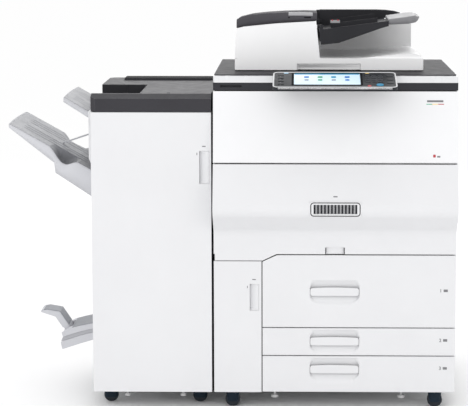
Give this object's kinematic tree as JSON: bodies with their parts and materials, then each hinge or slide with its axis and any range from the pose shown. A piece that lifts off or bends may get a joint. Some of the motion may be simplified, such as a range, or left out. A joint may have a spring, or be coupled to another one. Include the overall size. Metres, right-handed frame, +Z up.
{
  "type": "photocopier",
  "caption": "Floor-standing colour photocopier with document feeder, tilting touch panel, drawer trays, bulged front cover and a docked finisher with output trays on its left.",
  "frame": {"origin": "on the floor under the middle of the whole object's box", "axes": "+X to the operator's right, +Y from the operator to the rear, +Z up"},
  "size_m": [1.403, 0.85, 1.23],
  "materials": {
    "white_cover": "fine-textured moulded white plastic",
    "dark_cover": "fine-textured charcoal plastic",
    "dark_top": "fine-textured dark grey plastic",
    "grey_tray": "satin light blue-grey plastic",
    "grey_wall": "matte mid-grey plastic",
    "steel": "zinc-plated sheet steel",
    "glass": "clear float glass",
    "inner": "matte grey-blue inner plastic",
    "screen": "lit touch screen behind a clear face",
    "panel_dark": "satin dark panel face with a white bezel",
    "start": "translucent blue key",
    "stop": "red key",
    "keys": "dark keypad",
    "roller": "soft dark rubber",
    "fuser_roller": "orange-brown silicone rubber",
    "toner_yellow": "yellow bottle",
    "toner_magenta": "magenta bottle",
    "toner_cyan": "cyan bottle",
    "toner_black": "black bottle",
    "caster": "dark blue-black caster tread",
    "foot": "white nylon foot"
  },
  "bodies": {
    "root": {"base_pan": "steel", "inner_frame": "steel", "left_side_cover": "white_cover", "right_side_cover": "white_cover", "rear_cover": "white_cover", "inner_front_cover": "inner", "cover_hinges": "steel", "scanner_housing": "white_cover", "front_band": "dark_cover", "platen_frame": "dark_top", "platen_glass": "glass", "leveling_feet": "foot", "finisher_frame": "steel", "finisher_left_cover": "white_cover", "finisher_rear_cover": "white_cover", "finisher_top_cover": "dark_top", "proof_tray": "grey_tray", "booklet_tray": "grey_tray"},
    "toner_cover": {"toner_cover": "white_cover"},
    "front_cover": {"front_cover": "white_cover", "vent_grille": "dark_cover"},
    "lower_left_door": {"lower_left_door": "white_cover"},
    "tray_1": {"tray_1_front": "white_cover", "tray_1_tub": "inner"},
    "tray_2": {"tray_2_front": "white_cover", "tray_2_tub": "inner"},
    "tray_3": {"tray_3_front": "white_cover", "tray_3_tub": "inner"},
    "bottle_yellow": {"toner_bottle_yellow": "toner_yellow"},
    "bottle_magenta": {"toner_bottle_magenta": "toner_magenta"},
    "bottle_cyan": {"toner_bottle_cyan": "toner_cyan"},
    "bottle_black": {"toner_bottle_black": "toner_black"},
    "fusing_roller": {"fusing_roller": "fuser_roller"},
    "pressure_roller": {"pressure_roller": "roller"},
    "scanner_carriage": {"scanner_carriage": "inner"},
    "panel": {"control_panel": "panel_dark", "touch_screen": "screen"},
    "start_key": {"start_key": "start"},
    "stop_key": {"stop_key": "stop"},
    "number_keys": {"number_keys": "keys"},
    "adf": {"adf_base": "white_cover", "adf_housing": "white_cover", "adf_rear_wall": "grey_wall"},
    "feed_roller": {"adf_feed_roller": "roller"},
    "feed_cover": {"adf_feed_cover": "dark_cover"},
    "table": {"document_table": "dark_cover"},
    "extension": {"table_extension": "grey_tray"},
    "front_guide": {"front_guide": "grey_wall"},
    "rear_guide": {"rear_guide": "grey_wall"},
    "finisher_door": {"finisher_door": "white_cover"},
    "shift_tray": {"shift_tray": "grey_tray"},
    "stack_lever": {"stack_lever": "grey_wall"},
    "booklet_fence": {"booklet_fence": "grey_tray"},
    "left_fork": {"caster_left_fork": "steel"},
    "left_wheel": {"caster_left_wheel": "caster"},
    "right_fork": {"caster_right_fork": "steel"},
    "right_wheel": {"caster_right_wheel": "caster"},
    "rear_wheels": {"rear_wheels": "caster"},
    "finisher_left_wheels": {"finisher_left_wheels": "caster"},
    "finisher_right_wheels": {"finisher_right_wheels": "caster"}
  },
  "joints": [
    {"name": "toner_cover_hinge", "type": "hinge", "parent": "root", "child": "toner_cover", "pos_m": [0.3265, -0.297, 0.79], "axis": [1, 0, 0], "range_deg": [0, 80]},
    {"name": "front_cover_hinge", "type": "hinge", "parent": "root", "child": "front_cover", "pos_m": [0.3265, -0.267, 0.504], "axis": [1, 0, 0], "range_deg": [0, 55]},
    {"name": "lower_left_door_hinge", "type": "hinge", "parent": "root", "child": "lower_left_door", "pos_m": [-0.0405, -0.267, 0.265], "axis": [0, 0, -1], "range_deg": [0, 90]},
    {"name": "tray_1_slide", "type": "slide", "parent": "root", "child": "tray_1", "axis": [0, -1, 0], "range_m": [0, 0.45]},
    {"name": "tray_2_slide", "type": "slide", "parent": "root", "child": "tray_2", "axis": [0, -1, 0], "range_m": [0, 0.45]},
    {"name": "tray_3_slide", "type": "slide", "parent": "root", "child": "tray_3", "axis": [0, -1, 0], "range_m": [0, 0.45]},
    {"name": "bottle_yellow_spin", "type": "hinge", "parent": "root", "child": "bottle_yellow", "pos_m": [0.1015, -0.225, 0.88], "axis": [0, 1, 0], "continuous": true},
    {"name": "bottle_magenta_spin", "type": "hinge", "parent": "root", "child": "bottle_magenta", "pos_m": [0.2515, -0.225, 0.88], "axis": [0, 1, 0], "continuous": true},
    {"name": "bottle_cyan_spin", "type": "hinge", "parent": "root", "child": "bottle_cyan", "pos_m": [0.4015, -0.225, 0.88], "axis": [0, 1, 0], "continuous": true},
    {"name": "bottle_black_spin", "type": "hinge", "parent": "root", "child": "bottle_black", "pos_m": [0.5515, -0.225, 0.88], "axis": [0, 1, 0], "continuous": true},
    {"name": "fusing_roller_spin", "type": "hinge", "parent": "root", "child": "fusing_roller", "pos_m": [0.07, -0.215, 0.7], "axis": [0, 1, 0], "continuous": true},
    {"name": "pressure_roller_spin", "type": "hinge", "parent": "root", "child": "pressure_roller", "pos_m": [0.07, -0.215, 0.65], "axis": [0, 1, 0], "continuous": true},
    {"name": "scanner_carriage_slide", "type": "slide", "parent": "root", "child": "scanner_carriage", "axis": [1, 0, 0], "range_m": [0, 0.5]},
    {"name": "panel_tilt", "type": "hinge", "parent": "root", "child": "panel", "pos_m": [0.325, -0.295, 1.023], "axis": [1, 0, 0], "range_deg": [0, 30]},
    {"name": "start_key_press", "type": "slide", "parent": "panel", "child": "start_key", "axis": [0, 0.225, -0.9744], "range_m": [0, 0.0012], "stiffness_N_per_m": 400},
    {"name": "stop_key_press", "type": "slide", "parent": "panel", "child": "stop_key", "axis": [0, 0.225, -0.9744], "range_m": [0, 0.0012], "stiffness_N_per_m": 400},
    {"name": "number_keys_press", "type": "slide", "parent": "panel", "child": "number_keys", "axis": [0, 0.225, -0.9744], "range_m": [0, 0.0012], "stiffness_N_per_m": 400},
    {"name": "adf_lift", "type": "hinge", "parent": "root", "child": "adf", "pos_m": [0.3, 0.352, 1.062], "axis": [-1, 0, 0], "range_deg": [0, 70]},
    {"name": "feed_roller_spin", "type": "hinge", "parent": "adf", "child": "feed_roller", "pos_m": [0.21, 0, 1.165], "axis": [0, 1, 0], "continuous": true},
    {"name": "feed_cover_hinge", "type": "hinge", "parent": "adf", "child": "feed_cover", "pos_m": [0.022, 0, 1.192], "axis": [0, -1, 0], "range_deg": [0, 50]},
    {"name": "document_table_hinge", "type": "hinge", "parent": "adf", "child": "table", "pos_m": [0.284, 0, 1.19], "axis": [0, -1, 0], "range_deg": [0, 15]},
    {"name": "table_extension_slide", "type": "slide", "parent": "table", "child": "extension", "axis": [0.9919, 0, 0.1271], "range_m": [0, 0.08]},
    {"name": "front_guide_slide", "type": "slide", "parent": "table", "child": "front_guide", "axis": [0, 1, 0], "range_m": [0, 0.05]},
    {"name": "rear_guide_slide", "type": "slide", "parent": "table", "child": "rear_guide", "axis": [0, 1, 0], "range_m": [-0.05, 0]},
    {"name": "finisher_door_hinge", "type": "hinge", "parent": "root", "child": "finisher_door", "pos_m": [-0.4185, -0.267, 0.5], "axis": [0, 0, -1], "range_deg": [0, 100]},
    {"name": "shift_tray_slide", "type": "slide", "parent": "root", "child": "shift_tray", "axis": [0, 0, 1], "range_m": [-0.3, 0]},
    {"name": "stack_lever_hinge", "type": "hinge", "parent": "root", "child": "stack_lever", "pos_m": [-0.441, 0.027, 0.84], "axis": [0, 1, 0], "range_deg": [0, 30]},
    {"name": "booklet_fence_hinge", "type": "hinge", "parent": "root", "child": "booklet_fence", "pos_m": [-0.536, 0.012, 0.196], "axis": [0, 1, 0], "range_deg": [0, 40]},
    {"name": "left_fork_swivel", "type": "hinge", "parent": "root", "child": "left_fork", "pos_m": [0.008, -0.22, 0.05], "axis": [0, 0, 1], "continuous": true},
    {"name": "left_wheel_spin", "type": "hinge", "parent": "left_fork", "child": "left_wheel", "pos_m": [0.008, -0.22, 0.0235], "axis": [0, 1, 0], "continuous": true},
    {"name": "right_fork_swivel", "type": "hinge", "parent": "root", "child": "right_fork", "pos_m": [0.6435, -0.22, 0.05], "axis": [0, 0, 1], "continuous": true},
    {"name": "right_wheel_spin", "type": "hinge", "parent": "right_fork", "child": "right_wheel", "pos_m": [0.6435, -0.22, 0.0235], "axis": [0, 1, 0], "continuous": true},
    {"name": "rear_wheels_spin", "type": "hinge", "parent": "root", "child": "rear_wheels", "pos_m": [0.3265, 0.355, 0.0235], "axis": [1, 0, 0], "continuous": true},
    {"name": "finisher_left_wheels_spin", "type": "hinge", "parent": "root", "child": "finisher_left_wheels", "pos_m": [-0.381, 0, 0.023], "axis": [0, 1, 0], "continuous": true},
    {"name": "finisher_right_wheels_spin", "type": "hinge", "parent": "root", "child": "finisher_right_wheels", "pos_m": [-0.0975, 0, 0.023], "axis": [0, 1, 0], "continuous": true}
  ],
  "couplings": [
    {"joint": "pressure_roller_spin", "follows": "fusing_roller_spin", "ratio": -1.017},
    {"joint": "rear_guide_slide", "follows": "front_guide_slide", "ratio": -1}
  ]
}
